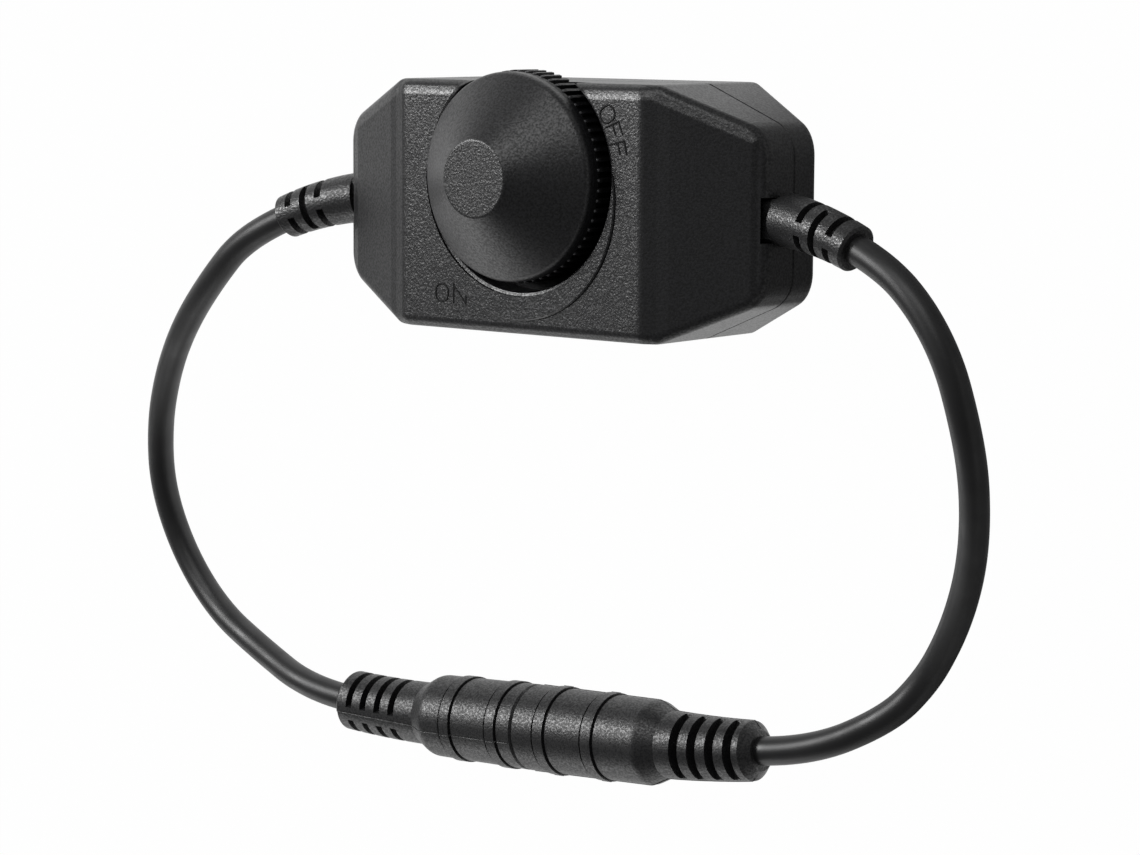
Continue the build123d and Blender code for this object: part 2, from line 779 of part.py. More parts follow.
# Routes of the cords on the table, between the leads that the strain reliefs set
left_route = [(-59.9, -12.8, 15.5), (-67.2, -19.4, 13.2), (-73.7, -26.4, 9.9), (-78.8, -34.5, 6.6),
              (-81.1, -43.9, 3.9), (-78.6, -53.5, 2.0), (-71.8, -61.0, 2.0), (-62.7, -65.1, 3.2)]
right_route = [(55.1, -9.2, 17.4), (58.6, -15.0, 17.0), (60.0, -21.4, 15.8), (60.1, -27.7, 13.6),
               (58.9, -33.8, 11.0), (56.9, -39.6, 8.3), (54.1, -45.2, 5.7), (50.8, -50.7, 3.7),
               (47.0, -56.0, 2.5), (42.5, -60.9, 3.4)]


plug_end = end_of(plug_sleeve_frame, plug_sleeve_length, -plug_sleeve_bend)
jack_end = end_of(jack_sleeve_frame, jack_sleeve_length, jack_sleeve_bend)


def make_cord(name, side, start_lead, route, far_end, end_lead):
    """Cord from a housing strain relief to the sleeve of its connector."""
    start, start_out = end_of(boot_frame(side), boot_length, boot_bend(side))
    end, end_out = far_end
    first = start + start_out * start_lead
    last = end + end_out * end_lead
    points = [start, first, *[Vector(*p) for p in route], last, end]
    body, path, radii = tube(points, cord_radius)
    share = body.volume / (pi * cord_radius ** 2 * path.length)
    print(name, "points", [tuple(round(c, 2) for c in p) for p in points])
    print(name, "length", round(path.length, 1), "volume share", round(share, 4))
    print(name, "bends", [round(r, 1) for r in radii])
    return body


nodes = {
    "front_shell": make_front_shell(),
    "rear_cover": make_rear_cover(),
    "case_screws": make_case_screws(),
    "knob": make_knob(),
    "pot_shaft": make_pot_shaft(),
    "pot_frame": make_pot_frame(),
    "pot_can": make_pot_can(),
    "pot_rotor": make_pot_rotor(),
    "pot_wiper": make_pot_wiper(),
    "pot_track": make_pot_track(),
    "pot_switch": make_pot_switch(),
    "pot_terminals": make_pot_terminals(),
    "circuit_board": make_circuit_board(),
    "mosfet": make_mosfet(),
    "timer_chip": make_timer_chip(),
    "chip_resistors": make_chip_resistors(),
    "chip_capacitors": make_chip_capacitors(),
    "can_capacitor": make_can_capacitor(),
    "diode": make_diode(),
    "input_wires": make_wires(1),
    "output_wires": make_wires(-1),
    "left_boot": make_boot(-1),
    "right_boot": make_boot(1),
    "left_cord": make_cord("left_cord", -1, left_cord_lead, left_route, plug_end, plug_cord_lead),
    "right_cord": make_cord("right_cord", 1, right_cord_lead, right_route, jack_end, jack_cord_lead),
    "plug_grip": make_plug_grip(),
    "plug_sleeve": make_plug_sleeve(),
    "plug_insulator": make_plug_insulator(),
    "plug_contact": make_plug_contact(),
    "jack_grip": make_jack_grip(),
    "jack_insert": make_jack_insert(),
    "jack_pin": make_jack_pin(),
    "jack_spring": make_jack_spring(),
}

os.makedirs("parts", exist_ok=True)
for name, shape in nodes.items():
    export_step(shape, f"parts/{name}.step")
print(len(nodes), "nodes written")
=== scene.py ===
# %% [markdown]
# # An inline LED dimmer, dressed for its portrait
# The dimmer is a small black box on a lead: a faceted two-shell housing, a conical thumb knob, a
# strain relief at each end, and two short cords whose barrel connectors are pushed together.
# Its solids are loaded first, in metres, lying on the housing's back: +Z is the knob's axis, +X runs
# to the input end and +Y is the edge that the knob peeps over. Nothing below moves them: the lesson
# adds the cords, the raised words, the rib-end dots in a painted highlight, the mould lines, the
# finishes, the light and the camera.

import bpy
from math import cos, pi, radians, sin
from mathutils import Matrix, Vector


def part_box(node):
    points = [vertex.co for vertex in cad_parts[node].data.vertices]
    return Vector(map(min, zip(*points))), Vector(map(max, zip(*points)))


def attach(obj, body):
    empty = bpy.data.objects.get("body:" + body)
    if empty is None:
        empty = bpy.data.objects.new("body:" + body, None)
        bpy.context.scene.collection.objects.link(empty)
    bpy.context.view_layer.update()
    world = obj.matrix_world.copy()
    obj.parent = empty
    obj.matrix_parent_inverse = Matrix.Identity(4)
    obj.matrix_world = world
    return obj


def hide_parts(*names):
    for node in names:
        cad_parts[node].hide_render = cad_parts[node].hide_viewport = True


MM = 0.001


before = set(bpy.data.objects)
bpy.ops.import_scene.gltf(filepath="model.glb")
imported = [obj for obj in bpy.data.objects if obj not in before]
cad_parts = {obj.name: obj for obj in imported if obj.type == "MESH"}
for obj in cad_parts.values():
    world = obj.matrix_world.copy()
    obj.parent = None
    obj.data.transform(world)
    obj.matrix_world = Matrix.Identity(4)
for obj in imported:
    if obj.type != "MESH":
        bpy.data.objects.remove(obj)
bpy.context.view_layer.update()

# %% [markdown]
# ## The camera
# A long lens from the front right shows the knob's face and the input end at once, and keeps the far
# end nearly as large as the near one. A camera looks along its own -Z, so its three axes are worked
# out from where it stands, what it looks at and which way is up in the picture. That is easier to
# read than three angles, and the lamps further down use the same function.

# %% Place the camera
EYE_MM = (271.15, 26.30, 351.74)
AIM_MM = (-9.95, -29.91, 0.0)
PICTURE_UP = (-0.0818, 0.9923, -0.0932)
LENS_MM = 110.05
FILM_WIDTH_MM = 36.0


def metres(point):
    """A point written in millimetres, as a vector in metres."""
    return Vector(point) * MM


def facing(eye, target, up):
    """Placement of something at eye that looks at target along its own -Z."""
    back = (eye - target).normalized()
    right = Vector(up).cross(back).normalized()
    turn = Matrix((right, back.cross(right), back)).transposed()
    return Matrix.Translation(eye) @ turn.to_4x4()


lens = bpy.data.cameras.new("portrait_lens")
lens.lens = LENS_MM
lens.sensor_width = FILM_WIDTH_MM
lens.sensor_fit = "HORIZONTAL"
camera = bpy.data.objects.new("portrait_camera", lens)
camera.matrix_world = facing(metres(EYE_MM), metres(AIM_MM), PICTURE_UP)
bpy.context.collection.objects.link(camera)
bpy.context.scene.camera = camera
print("camera stands", round((metres(EYE_MM) - metres(AIM_MM)).length, 3), "m from what it looks at")

# %% [markdown]
# ## Small helpers for the finishes
# Colours are written as on screen and turned to linear light once. A finish is a tree of nodes, and a
# single function adds a node with its settings and links, so that a tree reads from top to bottom.
# Inputs that share a name go by number: a Mix node's factor is 0, its numbers are 2 and 3 and its
# colours 6 and 7. Every pattern reads Object coordinates, which are metres on this part. A grain of
# so many millimetres is therefore a texture scale of one over that length.

# %% Colour, node and material helpers
def linear(colour):
    """Linear RGBA of a colour written as #rrggbb."""
    parts = [int(colour[i:i + 2], 16) / 255 for i in (1, 3, 5)]
    return [p / 12.92 if p <= 0.04045 else ((p + 0.055) / 1.055) ** 2.4 for p in parts] + [1.0]


def set_up(tree, node, settings):
    """Sets up a node. A key is a property, or an input's name or number; a socket as value is linked."""
    for key, value in settings.items():
        if isinstance(key, str) and hasattr(node, key):
            setattr(node, key, value)
        elif isinstance(value, bpy.types.NodeSocket):
            tree.links.new(value, node.inputs[key])
        else:
            node.inputs[key].default_value = value
    return node


def add_node(tree, kind, settings):
    """Adds a node of a kind, set up as given."""
    return set_up(tree, tree.nodes.new(kind), settings)


def new_finish(name):
    """A new material with its tree, its surface shader and the Object coordinates."""
    material = bpy.data.materials.new(name)
    material.use_nodes = True
    tree = material.node_tree
    place = add_node(tree, "ShaderNodeTexCoord", {}).outputs["Object"]
    return material, tree, tree.nodes["Principled BSDF"], place


def per_length(millimetres):
    """Texture scale whose pattern repeats about once in so many millimetres."""
    return 1 / (millimetres * MM)


WHITE = linear("#ffffff")
finishes = {}
print("white is", WHITE[0], "and mid grey", round(linear("#808080")[0], 3))

# %% [markdown]
# ## Black ABS off a spark-eroded mould
# Housing and knob are moulded in black ABS. The mould's faces were spark-eroded, which leaves tiny
# overlapping craters, and each crater's rim glints when a lamp is near its mirror angle. The show
# faces, the housing's front and the knob's flat top, were eroded coarsely, the other faces finely.
# The fine grain varies the tone, the gloss and the shine a little and adds a low relief. The coarse
# one adds its own relief and specks of full shine, and it is switched on by height: nothing below a
# show face is as high, and what little stands above the housing's front has the same grain.

# %% Spark-textured ABS
NOISE_DETAIL = 1.0
NOISE_ROUGHNESS = 0.5
COARSE_GRAIN_MM = 0.27
FINE_GRAIN_MM = 0.28
COARSE_RELIEF_MM = 0.035
FINE_RELIEF_MM = 0.025
EDGE_FADE_MM = 0.1
GRAIN_LOW = 0.36
GRAIN_HIGH = 0.64
CRATER_SHINE = 0.36
RIM_SHINE = 0.66
SPECK_SHINE = 1.0
GLOSS_SPREAD = 0.03
GLINT_FROM = 0.53
GLINT_TO = 0.64
ABS_IOR = 1.54


def spark_textured_abs(name, show_face_mm, elsewhere, dark, light, gloss):
    """Black ABS with a fine spark texture and a coarse one on the face at the given height."""
    material, tree, surface, place = new_finish(name)
    height = add_node(tree, "ShaderNodeSeparateXYZ", {"Vector": place}).outputs["Z"]
    on_face = add_node(tree, "ShaderNodeMapRange", {
        "Value": height, "From Min": (show_face_mm - EDGE_FADE_MM) * MM,
        "From Max": show_face_mm * MM, "To Min": elsewhere}).outputs["Result"]
    coarse = add_node(tree, "ShaderNodeTexNoise", {
        "Vector": place, "Scale": per_length(COARSE_GRAIN_MM), "Detail": NOISE_DETAIL,
        "Roughness": NOISE_ROUGHNESS}).outputs["Fac"]
    fine = add_node(tree, "ShaderNodeTexNoise", {
        "Vector": place, "Scale": per_length(FINE_GRAIN_MM), "Detail": NOISE_DETAIL,
        "Roughness": NOISE_ROUGHNESS}).outputs["Fac"]
    grain = add_node(tree, "ShaderNodeMapRange", {
        "Value": fine, "From Min": GRAIN_LOW, "From Max": GRAIN_HIGH}).outputs["Result"]
    colour = add_node(tree, "ShaderNodeMix", {
        "data_type": "RGBA", 0: grain, 6: linear(dark), 7: linear(light)}).outputs[2]
    sheen = add_node(tree, "ShaderNodeMix", {
        "data_type": "FLOAT", 0: grain, 2: gloss + GLOSS_SPREAD, 3: gloss - GLOSS_SPREAD}).outputs[0]
    satin = add_node(tree, "ShaderNodeMix", {
        "data_type": "FLOAT", 0: grain, 2: CRATER_SHINE, 3: RIM_SHINE}).outputs[0]
    specks = add_node(tree, "ShaderNodeMapRange", {
        "Value": coarse, "From Min": GLINT_FROM, "From Max": GLINT_TO}).outputs["Result"]
    specks_here = add_node(tree, "ShaderNodeMath", {
        "operation": "MULTIPLY", 0: specks, 1: on_face}).outputs[0]
    shine = add_node(tree, "ShaderNodeMix", {
        "data_type": "FLOAT", 0: specks_here, 2: satin, 3: SPECK_SHINE}).outputs[0]
    fine_bump = add_node(tree, "ShaderNodeBump", {
        "name": "fine_bump", "Strength": 1.0, "Distance": FINE_RELIEF_MM * MM,
        "Height": fine}).outputs["Normal"]
    bump = add_node(tree, "ShaderNodeBump", {
        "Strength": on_face, "Distance": COARSE_RELIEF_MM * MM, "Height": coarse,
        "Normal": fine_bump}).outputs["Normal"]
    set_up(tree, surface, {
        "Base Color": colour, "Roughness": sheen, "Specular IOR Level": shine, "Normal": bump,
        "IOR": ABS_IOR})
    return material


FACE_MM = 22.8
KNOB_TOP_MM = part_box("knob")[1][2] / MM
# The housing looks charcoal where a lamp rakes it and black where it faces the dark of the room.
finishes["housing_abs"] = spark_textured_abs(
    "spark_textured_abs", FACE_MM, elsewhere=0.0, dark="#171718", light="#1c1c1e", gloss=0.37)
# The knob's cone keeps a quarter of the coarse grain and carries broad soft reflections.
finishes["knob_abs"] = spark_textured_abs(
    "satin_knob_abs", KNOB_TOP_MM, elsewhere=0.25, dark="#161617", light="#1e1e20", gloss=0.4)
print("ABS grain:", COARSE_GRAIN_MM, "mm on the show faces,", FINE_GRAIN_MM, "mm elsewhere")

# %% [markdown]
# ## Edges that roll off
# The mould's edges were eased by hand, so the front rolls off gently over about a millimetre before
# the solid's own rounding begins. It does so along the upper side, at the upper corners and at both
# ends, and the lip of the knob's well is eased too. The bright band along the top of the face is this
# roll-off, turned just far enough to mirror the key lamp. It is a bump over the distance from the
# edge, so the solid keeps its shape. The distances come first.

# %% Distances from the edges
UPPER_SIDE_MM = 15.5
END_MM = 33.0
CORNER_FACING = (0.395, 0.919, 0.0)
CORNER_MM = 22.22
DIAL_MM = (0.0, 3.95, 0.0)
WELL_RADIUS_MM = 14.1
FLATTEN = (1.0, 1.0, 0.0)

shell_tree = finishes["housing_abs"].node_tree
shell_place = add_node(shell_tree, "ShaderNodeTexCoord", {}).outputs["Object"]
apart = add_node(shell_tree, "ShaderNodeSeparateXYZ", {"Vector": shell_place}).outputs
from_middle = add_node(shell_tree, "ShaderNodeMath", {"operation": "ABSOLUTE", 0: apart["X"]}).outputs[0]
one_half = add_node(shell_tree, "ShaderNodeCombineXYZ", {
    "X": from_middle, "Y": apart["Y"]}).outputs["Vector"]
to_corner = add_node(shell_tree, "ShaderNodeVectorMath", {
    "operation": "DOT_PRODUCT", 0: one_half, 1: CORNER_FACING}).outputs["Value"]
edge_gaps = []
for limit_mm, reach in ((UPPER_SIDE_MM, apart["Y"]), (CORNER_MM, to_corner), (END_MM, from_middle)):
    edge_gaps.append(add_node(shell_tree, "ShaderNodeMath", {
        "operation": "SUBTRACT", 0: limit_mm * MM, 1: reach}).outputs[0])
upper_gap = add_node(shell_tree, "ShaderNodeMath", {
    "operation": "MINIMUM", 0: edge_gaps[0], 1: edge_gaps[1]}).outputs[0]
edge_gap = add_node(shell_tree, "ShaderNodeMath", {
    "operation": "MINIMUM", 0: upper_gap, 1: edge_gaps[2]}).outputs[0]
flat_place = add_node(shell_tree, "ShaderNodeVectorMath", {
    "operation": "MULTIPLY", 0: shell_place, 1: FLATTEN}).outputs["Vector"]
from_dial = add_node(shell_tree, "ShaderNodeVectorMath", {
    "operation": "DISTANCE", 0: flat_place, 1: metres(DIAL_MM)}).outputs["Value"]
well_gap = add_node(shell_tree, "ShaderNodeMath", {
    "operation": "SUBTRACT", 0: from_dial, 1: WELL_RADIUS_MM * MM}).outputs[0]
print("gaps measured from", len(edge_gaps), "edges and from a well of radius", WELL_RADIUS_MM, "mm")

# %% Roll-off
# Each bump has a start and an end, counted from its edge, and the height that it gains between them.
ROLL_MM = (0.9, 1.95, 0.19)
LIP_MM = (0.15, 0.55, -0.1)
# Between these heights the lip's bump fades in, so that none of it runs down the outer wall.
LIP_FADE_MM = (21.4, 22.0)

climbs = []
for gap, (start, end, climb) in ((edge_gap, ROLL_MM), (well_gap, LIP_MM)):
    climbs.append(add_node(shell_tree, "ShaderNodeMapRange", {
        "interpolation_type": "SMOOTHSTEP", "Value": gap, "From Min": start * MM, "From Max": end * MM,
        "To Max": climb * MM}).outputs["Result"])
near_face = add_node(shell_tree, "ShaderNodeMapRange", {
    "Value": apart["Z"], "From Min": LIP_FADE_MM[0] * MM,
    "From Max": LIP_FADE_MM[1] * MM}).outputs["Result"]
lip = add_node(shell_tree, "ShaderNodeMath", {
    "operation": "MULTIPLY", 0: climbs[1], 1: near_face}).outputs[0]
drop = add_node(shell_tree, "ShaderNodeMath", {"operation": "ADD", 0: climbs[0], 1: lip}).outputs[0]
roll_off = add_node(shell_tree, "ShaderNodeBump", {"Strength": 1.0, "Distance": 1.0, "Height": drop})
shell_tree.links.new(roll_off.outputs["Normal"], shell_tree.nodes["fine_bump"].inputs["Normal"])
for edge, (start, end, climb) in (("edges", ROLL_MM), ("lip", LIP_MM)):
    print("bump at the", edge, "runs over", round(end - start, 2), "mm and gains", climb, "mm")

# %% [markdown]
# ## Painted shade below the crown
# The inside of the well and the knob's ribs lie in the crown's shade. That shade is painted: their
# shine is cut to a small share, so they read as a dark ring round the knob.

# %% Painted shade in the well and on the ribs
SHADE_GAP_MM = (0.05, 0.15)
WELL_FLOOR_MM = (18.7, 18.8)
WELL_SHADE_SHARE = 0.15
RIBS_TO_MM = (24.0, 24.2)
RIB_SHADE_SHARE = 0.3


def paint_shade(tree, share):
    """Paints shade: multiplies the shine of a finish by a share that its tree works out."""
    shine = tree.nodes["Principled BSDF"].inputs["Specular IOR Level"]
    dulled = add_node(tree, "ShaderNodeMath", {
        "operation": "MULTIPLY", 0: shine.links[0].from_socket, 1: share}).outputs[0]
    tree.links.new(dulled, shine)


# Painted shade: inside the well, below the face, the shine drops to a small share.
well_shade_share = add_node(shell_tree, "ShaderNodeMapRange", {
    "Value": well_gap, "From Min": SHADE_GAP_MM[0] * MM, "From Max": SHADE_GAP_MM[1] * MM,
    "To Min": WELL_SHADE_SHARE}).outputs["Result"]
below = add_node(shell_tree, "ShaderNodeMapRange", {
    "Value": apart["Z"], "From Min": WELL_FLOOR_MM[0] * MM, "From Max": WELL_FLOOR_MM[1] * MM,
    "To Min": 1.0, "To Max": 0.0}).outputs["Result"]
paint_shade(shell_tree, add_node(shell_tree, "ShaderNodeMath", {
    "operation": "MAXIMUM", 0: well_shade_share, 1: below}).outputs[0])

# Painted shade: the ribs below the crown keep only a share of their shine.
knob_tree = finishes["knob_abs"].node_tree
knob_place = add_node(knob_tree, "ShaderNodeTexCoord", {}).outputs["Object"]
knob_height = add_node(knob_tree, "ShaderNodeSeparateXYZ", {"Vector": knob_place}).outputs["Z"]
paint_shade(knob_tree, add_node(knob_tree, "ShaderNodeMapRange", {
    "Value": knob_height, "From Min": RIBS_TO_MM[0] * MM, "From Max": RIBS_TO_MM[1] * MM,
    "To Min": RIB_SHADE_SHARE}).outputs["Result"])
print("share of shine in the well:", WELL_SHADE_SHARE, "and on the ribs:", RIB_SHADE_SHARE)

# %% [markdown]
# ## Flexible PVC
# The strain reliefs and the connectors' grips are moulded in soft PVC over the cord, and the cord's
# jacket is extruded from the same family. Moulded, it takes the mould's fine grain and stays matt;
# extruded, it is smooth with a soft bright line along it. One function serves all three, because
# only the tones, the grain, its relief and the gloss differ.

# %% Moulded and extruded PVC
PVC_IOR = 1.53


def black_pvc(name, dark, light, grain_mm, relief_mm, sheen, shine):
    """Black PVC whose grain is also its gloss: the tops of the grain are the shiny part."""
    material, tree, surface, place = new_finish(name)
    grain = add_node(tree, "ShaderNodeTexNoise", {
        "Vector": place, "Scale": per_length(grain_mm), "Detail": NOISE_DETAIL,
        "Roughness": NOISE_ROUGHNESS}).outputs["Fac"]
    colour = add_node(tree, "ShaderNodeMix", {
        "data_type": "RGBA", 0: grain, 6: linear(dark), 7: linear(light)}).outputs[2]
    gloss = add_node(tree, "ShaderNodeMapRange", {
        "Value": grain, "From Min": GLINT_FROM, "From Max": GLINT_TO, "To Min": sheen[1],
        "To Max": sheen[0]}).outputs["Result"]
    specks = add_node(tree, "ShaderNodeMapRange", {
        "Value": grain, "From Min": GRAIN_LOW, "From Max": GRAIN_HIGH, "To Min": shine[0],
        "To Max": shine[1]}).outputs["Result"]
    bump = add_node(tree, "ShaderNodeBump", {
        "Strength": 1.0, "Distance": relief_mm * MM, "Height": grain}).outputs["Normal"]
    set_up(tree, surface, {
        "Base Color": colour, "Roughness": gloss, "Specular IOR Level": specks, "Normal": bump,
        "IOR": PVC_IOR})
    return material


# Grainy and matt: small sparks where the lamp rakes the strain relief.
finishes["boot_pvc"] = black_pvc(
    "grainy_boot_pvc", "#1a1a1b", "#1e1e1f", grain_mm=0.28, relief_mm=0.06, sheen=(0.28, 0.45),
    shine=(0.38, 0.75))
# A finer relief and a satin gloss on the connectors.
finishes["grip_pvc"] = black_pvc(
    "satin_grip_pvc", "#1b1b1c", "#1f1f20", grain_mm=0.27, relief_mm=0.03, sheen=(0.36, 0.44),
    shine=(0.3, 0.75))
# Smooth jacket: one soft bright line along the cord.
finishes["cord_pvc"] = black_pvc(
    "extruded_cord_pvc", "#171718", "#1b1b1c", grain_mm=4.0, relief_mm=0.004, sheen=(0.4, 0.44),
    shine=(0.48, 0.56))
print("PVC finishes:", [finishes[slot].name for slot in ("boot_pvc", "grip_pvc", "cord_pvc")])

# %% [markdown]
# ## What is inside
# The potentiometer, the board and the contacts are shut away, but anyone who takes the part apart
# sees them, so each gets the look of its real stock. They share one plain recipe: two tones mixed by
# a grain, a gloss that varies with the same grain, and a low relief. A stretch above 1 draws the
# grain out along X, as rolling or weaving does, and one below 1 packs it, as turning does.

# %% Stock finishes
STOCK_DETAIL = 3.0
STOCK_LOW = 0.3
STOCK_HIGH = 0.7


def stock(name, dark, light, metallic, sheen_low, sheen_high, grain_mm, relief_mm, stretch=1.0):
    """A simple finish: two tones, a varying gloss and a relief, all from one grain."""
    material, tree, surface, place = new_finish(name)
    drawn_out = add_node(tree, "ShaderNodeMapping", {
        "Vector": place, "Scale": (1 / stretch, 1.0, 1.0)}).outputs["Vector"]
    grain = add_node(tree, "ShaderNodeTexNoise", {
        "Vector": drawn_out, "Scale": per_length(grain_mm), "Detail": STOCK_DETAIL}).outputs["Fac"]
    colour = add_node(tree, "ShaderNodeMix", {
        "data_type": "RGBA", 0: grain, 6: linear(dark), 7: linear(light)}).outputs[2]
    sheen = add_node(tree, "ShaderNodeMapRange", {
        "Value": grain, "From Min": STOCK_LOW, "From Max": STOCK_HIGH, "To Min": sheen_low,
        "To Max": sheen_high}).outputs["Result"]
    bump = add_node(tree, "ShaderNodeBump", {
        "Strength": 1.0, "Distance": relief_mm * MM, "Height": grain}).outputs["Normal"]
    set_up(tree, surface, {
        "Base Color": colour, "Roughness": sheen, "Normal": bump, "Metallic": metallic})
    return material


# Each row: name, the two tones, metallic, lowest and highest roughness, grain and relief in
# millimetres, and a stretch where there is one.
STOCKS = {
    # Zinc plate: a cool white metal, clouded in patches as it passivates.
    "zinc_steel": ("zinc_plated_steel", "#a9adb2", "#c9cdd2", 1.0, 0.28, 0.42, 0.9, 0.004),
    # Nickel plate: warmer and brighter, with fine turning marks.
    "nickel_brass": ("nickel_plated_brass", "#bdb6a8", "#d8d2c6", 1.0, 0.18, 0.28, 0.3, 0.003, 0.2),
    # Phosphor bronze strip: pinkish gold with rolling streaks.
    "contact_bronze": ("rolled_phosphor_bronze", "#b07a45", "#c9975c", 1.0, 0.24, 0.36, 0.25, 0.003, 8.0),
    # Glass-filled PBT: black with pale flecks of fibre ends.
    "insulator": ("glass_filled_pbt", "#19191a", "#2b2b2c", 0.0, 0.42, 0.55, 0.3, 0.01, 2.0),
    # Natural nylon: milky ivory.
    "rotor_nylon": ("natural_nylon", "#d8d3c1", "#e8e4d6", 0.0, 0.4, 0.52, 1.2, 0.006),
    # Phenolic paper: brown, with the paper's fibres drawn out along it.
    "track_laminate": ("phenolic_paper", "#6f4526", "#8d5d38", 0.0, 0.38, 0.5, 0.5, 0.006, 4.0),
    # Solder mask on glass cloth: glossy green, faintly uneven.
    "board_laminate": ("green_solder_mask", "#17492c", "#23653d", 0.0, 0.22, 0.34, 0.6, 0.01),
    # Moulding compound: dull black with a powdery grain.
    "chip_epoxy": ("epoxy_moulding_compound", "#161617", "#232325", 0.0, 0.5, 0.64, 0.15, 0.008),
    # Fired ceramic: tan and close-grained.
    "chip_ceramic": ("fired_chip_ceramic", "#a38a66", "#bda17b", 0.0, 0.34, 0.46, 0.2, 0.004),
    # Drawn aluminium: bright, with fine marks.
    "capacitor_can": ("drawn_aluminium", "#b9bcc0", "#d4d6d9", 1.0, 0.24, 0.36, 0.2, 0.003, 0.2),
    # Wire insulation: glossy red PVC.
    "wire_pvc": ("red_wire_pvc", "#7d1614", "#931d19", 0.0, 0.3, 0.38, 1.5, 0.004),
}
for slot, recipe in STOCKS.items():
    finishes[slot] = stock(*recipe)
print("stock finishes:", len(STOCKS))

# %% [markdown]
# ## Dress the solids
# Each solid came in with a plain material named for its slot. The finish of the same slot takes its
# place, and the mesh itself is left alone.

# %% Swap the plain materials
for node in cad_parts.values():
    for holder in node.material_slots:
        holder.material = finishes[holder.material.name]
print("dressed", len(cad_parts), "solids")

# %% [markdown]
# ## The cords
# Each cord is a fixed length of 3.64 mm round jacket. It leaves its strain relief, sags to the table,
# lies in a loose bow and rises a little into the sleeve of its connector. A NURBS curve guided by a
# few control points bends as smoothly as the real thing; a polyline with rounded corners would look
# like bent wire. The order is set after the points, because before them it would not hold.

# %% Lay the cords
CORD_DIAMETER_MM = 3.64
CORD_STEPS = 12
CORD_BEVEL_STEPS = 8
CORD_ORDER = 3
LEFT_ROUTE_MM = [
    (-45.45, -3.34, 15.52), (-52.38, -6.09, 16.25), (-59.9, -12.8, 15.5), (-67.2, -19.4, 13.2),
    (-73.7, -26.4, 9.9), (-78.8, -34.5, 6.6), (-81.1, -43.9, 3.9), (-78.6, -53.5, 2.0),
    (-71.8, -61.0, 2.0), (-62.7, -65.1, 3.2), (-50.85, -68.93, 5.8), (-43.36, -69.34, 5.8)]
RIGHT_ROUTE_MM = [
    (45.38, -3.09, 16.17), (49.99, -4.91, 16.88), (55.1, -9.2, 17.4), (58.6, -15.0, 17.0),
    (60.0, -21.4, 15.8), (60.1, -27.7, 13.6), (58.9, -33.8, 11.0), (56.9, -39.6, 8.3),
    (54.1, -45.2, 5.7), (50.8, -50.7, 3.7), (47.0, -56.0, 2.5), (42.5, -60.9, 3.4),
    (32.89, -65.89, 5.8), (25.45, -66.85, 5.8)]


def lay_cord(name, node, route_mm):
    """A free cord along a route, standing for the plain tube of the same route."""
    curve = bpy.data.curves.new(name, "CURVE")
    curve.dimensions = "3D"
    curve.resolution_u = CORD_STEPS
    curve.bevel_depth = CORD_DIAMETER_MM * MM / 2
    curve.bevel_resolution = CORD_BEVEL_STEPS
    curve.use_fill_caps = True
    spline = curve.splines.new("NURBS")
    spline.points.add(len(route_mm) - 1)
    for point, spot in zip(spline.points, route_mm):
        point.co = (*metres(spot), 1.0)
    spline.order_u = CORD_ORDER
    spline.use_endpoint_u = True
    curve.materials.append(finishes["cord_pvc"])
    cord = bpy.data.objects.new(name, curve)
    bpy.context.collection.objects.link(cord)
    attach(cord, "housing")
    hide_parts(node)
    drawn_mm = round(spline.calc_length() / MM, 1)
    print(name, "follows", len(route_mm), "points; spline length", drawn_mm, "mm")


lay_cord("output_cord", "left_cord", LEFT_ROUTE_MM)
lay_cord("input_cord", "right_cord", RIGHT_ROUTE_MM)

# %% [markdown]
# ## The raised words ON and OFF
# Moulded beside the knob are the two words, in thin strokes that stand a hair above the face. A font
# would bring its own weight and serifs, so the letters are drawn as strokes: a superellipse for O,
# three straight strokes each for N and F. Geometry Nodes then sweep a bead along every stroke and put
# a ball on each end, so that strokes meet in round corners.

# %% Draw the strokes
F_BAR_RISE = 0.1
F_BAR_REACH = 0.7


def oval(width, height, steps=24, power=2.6):
    """Closed superellipse, the O of a technical alphabet."""
    points = []
    for step in range(steps):
        angle = 2 * pi * step / steps
        x, y = cos(angle), sin(angle)
        reach = (abs(x) ** power + abs(y) ** power) ** (-1 / power)
        points.append((x * reach * width / 2, y * reach * height / 2))
    return points, True


def letter(sign, width, height):
    """Strokes of a letter about its middle, each a list of points and whether it is closed."""
    x, y = width / 2, height / 2
    if sign == "O":
        return [oval(width, height)]
    if sign == "N":
        ends = [((-x, -y), (-x, y)), ((-x, y), (x, -y)), ((x, -y), (x, y))]
    else:
        bar = F_BAR_RISE * y
        ends = [((-x, -y), (-x, y)), ((-x, y), (x, y)), ((-x, bar), (F_BAR_REACH * x, bar))]
    return [(pair, False) for pair in ends]


LETTER_HEIGHT_MM = 2.2
# Middle and width of each letter of ON, which runs straight.
ON_PLACES_MM = {"O": (-12.31, -10.97, 2.0), "N": (-9.4, -11.02, 2.0)}
# Angle about the dial and width of each letter of OFF, which bends round it.
OFF_RADIUS_MM = 15.85
OFF_TURNS = (("O", 30.0, 1.95), ("F", 22.0, 1.65), ("F", 13.7, 1.65))

strokes = []
for sign, (x, y, width) in ON_PLACES_MM.items():
    for points, closed in letter(sign, width, LETTER_HEIGHT_MM):
        strokes.append(([(x + px, y + py) for px, py in points], closed))
for sign, degrees, width in OFF_TURNS:
    turn = radians(degrees)
    across, upward = (sin(turn), -cos(turn)), (cos(turn), sin(turn))
    middle = [c + OFF_RADIUS_MM * u for c, u in zip(DIAL_MM, upward)]
    for points, closed in letter(sign, width, LETTER_HEIGHT_MM):
        placed = [[m + px * a + py * u for m, a, u in zip(middle, across, upward)] for px, py in points]
        strokes.append((placed, closed))
print("strokes:", len(strokes))

